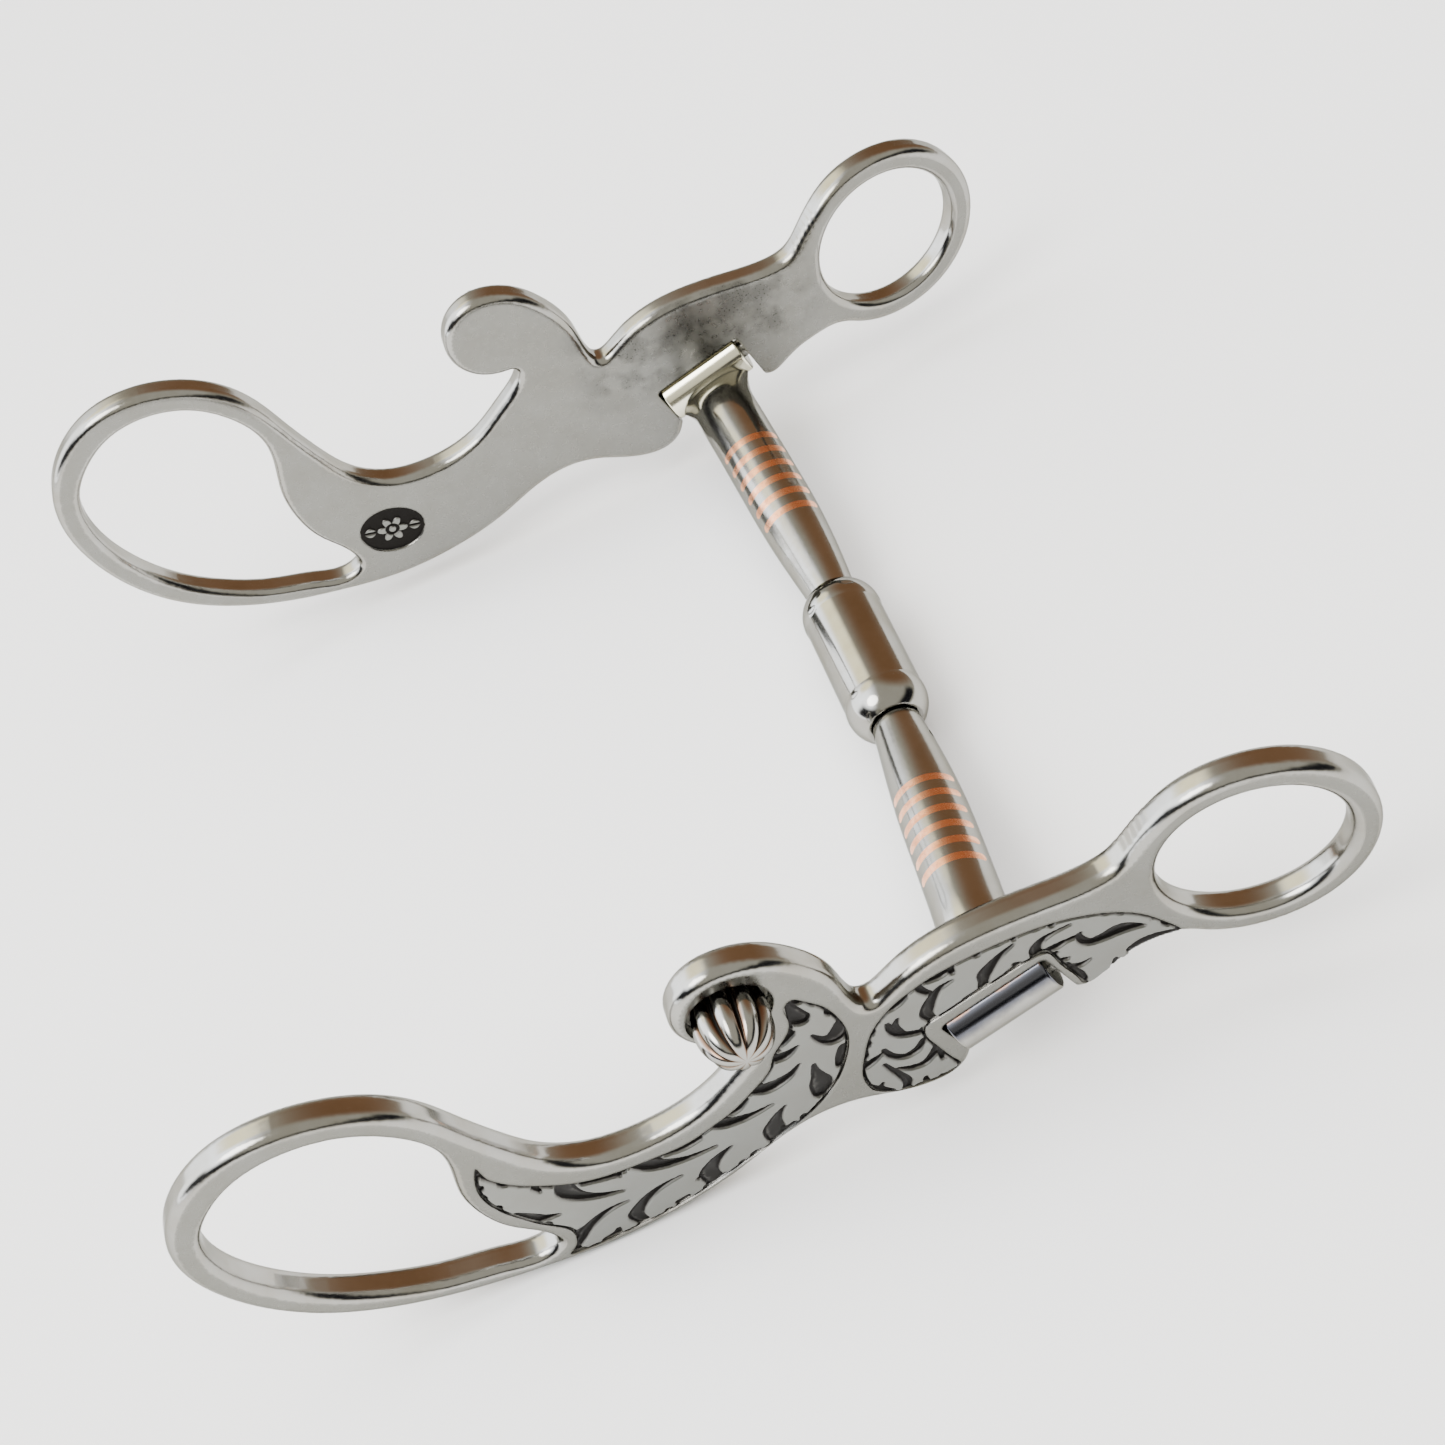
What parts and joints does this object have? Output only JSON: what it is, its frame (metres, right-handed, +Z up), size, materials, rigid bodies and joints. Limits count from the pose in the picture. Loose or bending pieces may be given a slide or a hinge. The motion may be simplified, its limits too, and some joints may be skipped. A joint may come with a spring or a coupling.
{
  "type": "loose-cheek curb bit",
  "caption": "Curb bit with hinged swept shanks, scroll-engraved cheeks, a bowed steel mouthpiece with copper inlay bands and a free-turning centre barrel.",
  "frame": {"origin": "middle of the underside of the whole bit's bounding box at rest", "axes": "+X along the shanks towards the purchase rings, +Y across the mouth towards the right cheek, +Z up from the resting plane"},
  "size_m": [0.1568, 0.15, 0.0595],
  "materials": {
    "shank_steel": "stainless steel, satin flat faces with polished rounded rims and darker engraved floors",
    "bud_steel": "polished stainless steel with dark grooves",
    "sleeve_steel": "polished stainless steel",
    "mouthpiece_steel": "polished grey steel",
    "barrel_steel": "mirror-polished stainless steel",
    "pin_steel": "ground steel",
    "copper": "polished copper inlay"
  },
  "bodies": {
    "left_arm": {"left_mouth_arm": "mouthpiece_steel", "left_hinge_sleeve": "sleeve_steel", "left_copper_band_1": "copper", "left_copper_band_2": "copper", "left_copper_band_3": "copper", "left_copper_band_4": "copper", "left_copper_band_5": "copper", "left_copper_band_6": "copper", "centre_axle": "pin_steel", "axle_dowel": "pin_steel"},
    "right_arm": {"right_mouth_arm": "mouthpiece_steel", "right_hinge_sleeve": "sleeve_steel", "right_copper_band_1": "copper", "right_copper_band_2": "copper", "right_copper_band_3": "copper", "right_copper_band_4": "copper", "right_copper_band_5": "copper", "right_copper_band_6": "copper", "retaining_dowel": "pin_steel"},
    "barrel": {"barrel_roller": "barrel_steel"},
    "left_cheek": {"left_shank": "shank_steel", "left_scroll_bud": "bud_steel", "left_hinge_pin": "pin_steel"},
    "right_cheek": {"right_shank": "shank_steel", "right_scroll_bud": "bud_steel", "right_hinge_pin": "pin_steel"}
  },
  "joints": [
    {"name": "barrel_spin", "type": "hinge", "parent": "left_arm", "child": "barrel", "pos_m": [0.02996, 0, 0.00838], "axis": [0, 1, 0], "continuous": true},
    {"name": "side_swivel", "type": "hinge", "parent": "left_arm", "child": "right_arm", "pos_m": [0.02996, 0, 0.00838], "axis": [0, 1, 0], "continuous": true},
    {"name": "left_cheek_hinge", "type": "hinge", "parent": "left_arm", "child": "left_cheek", "pos_m": [0.0263, -0.06575, 0.015], "axis": [-0.9516, 0, -0.3074], "range_deg": [-70, 18]},
    {"name": "right_cheek_hinge", "type": "hinge", "parent": "right_arm", "child": "right_cheek", "pos_m": [0.02674, 0.06575, 0.01523], "axis": [0.9699, 0, 0.2436], "range_deg": [-70, 18]}
  ]
}
